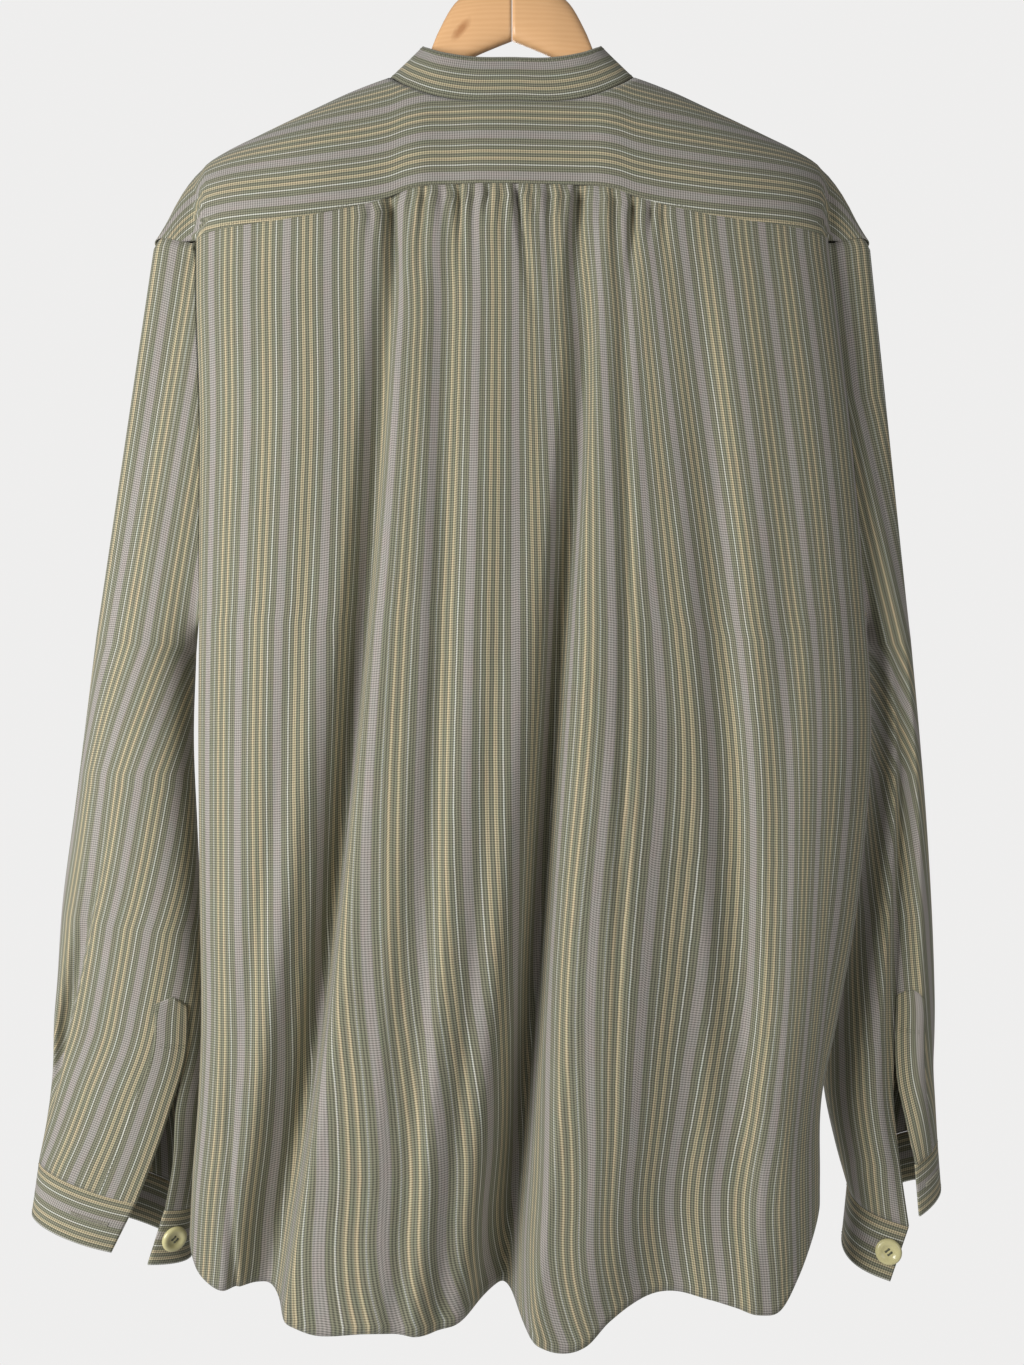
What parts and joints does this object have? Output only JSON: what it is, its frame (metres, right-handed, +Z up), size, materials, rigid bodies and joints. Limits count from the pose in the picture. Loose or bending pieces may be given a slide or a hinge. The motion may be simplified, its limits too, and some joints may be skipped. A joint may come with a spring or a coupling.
{
  "type": "mandarin collar shirt on hanger",
  "caption": "Long-sleeved striped shirt with a low band collar, gathered back yoke and curved tail, hanging on a wooden hanger with open cuffs.",
  "frame": {"origin": "inner top of the hanger's hook, where a rail carries it", "axes": "+X to the wearer's right, +Y to the wearer's front, +Z up through the hook"},
  "size_m": [0.6436, 0.1275, 0.9617],
  "materials": {
    "shirt_cloth": "matt woven cotton, grey-green with lengthwise stripes",
    "cross_cloth": "the same striped cotton cut across",
    "button_resin": "glossy cream-yellow resin",
    "hanger_wood": "clear varnished pale wood",
    "hook_steel": "bright steel wire"
  },
  "bodies": {
    "root": {"yoke": "cross_cloth", "back_panel": "shirt_cloth", "front_left": "shirt_cloth", "front_right": "shirt_cloth", "front_band": "shirt_cloth", "collar_band": "cross_cloth", "sleeve_left": "shirt_cloth", "sleeve_right": "shirt_cloth", "placket_left": "shirt_cloth", "placket_right": "shirt_cloth", "cuff_left": "cross_cloth", "cuff_right": "cross_cloth", "button_front_1": "button_resin", "button_front_2": "button_resin", "button_front_3": "button_resin", "button_front_4": "button_resin", "button_front_5": "button_resin", "button_front_6": "button_resin", "button_front_7": "button_resin", "button_collar": "button_resin", "button_cuff_left": "button_resin", "button_cuff_right": "button_resin", "hanger_arm_left": "hanger_wood", "hanger_arm_right": "hanger_wood", "hanger_hook": "hook_steel"}
  },
  "joints": []
}
